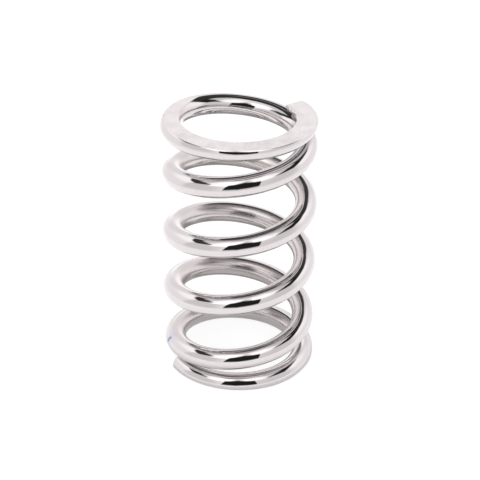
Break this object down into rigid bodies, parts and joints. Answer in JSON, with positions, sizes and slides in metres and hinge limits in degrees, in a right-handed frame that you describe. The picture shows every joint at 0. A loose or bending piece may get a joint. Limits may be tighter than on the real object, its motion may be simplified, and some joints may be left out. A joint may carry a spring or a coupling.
{
  "type": "coilover spring",
  "caption": "Right-hand wound round-wire compression spring for a telescopic damper, with closed ends ground flat.",
  "frame": {"origin": "middle of the lower ground face, on the coil axis", "axes": "+Z along the coil axis, from the lower ground face to the upper one; the picture looks along +Y from above, with +X to its right"},
  "size_m": [0.0889, 0.0883, 0.1524],
  "materials": {
    "chrome_plate": "polished chrome plate, satin on the ground end faces"
  },
  "bodies": {
    "root": {"coil_spring": "chrome_plate"}
  },
  "joints": []
}
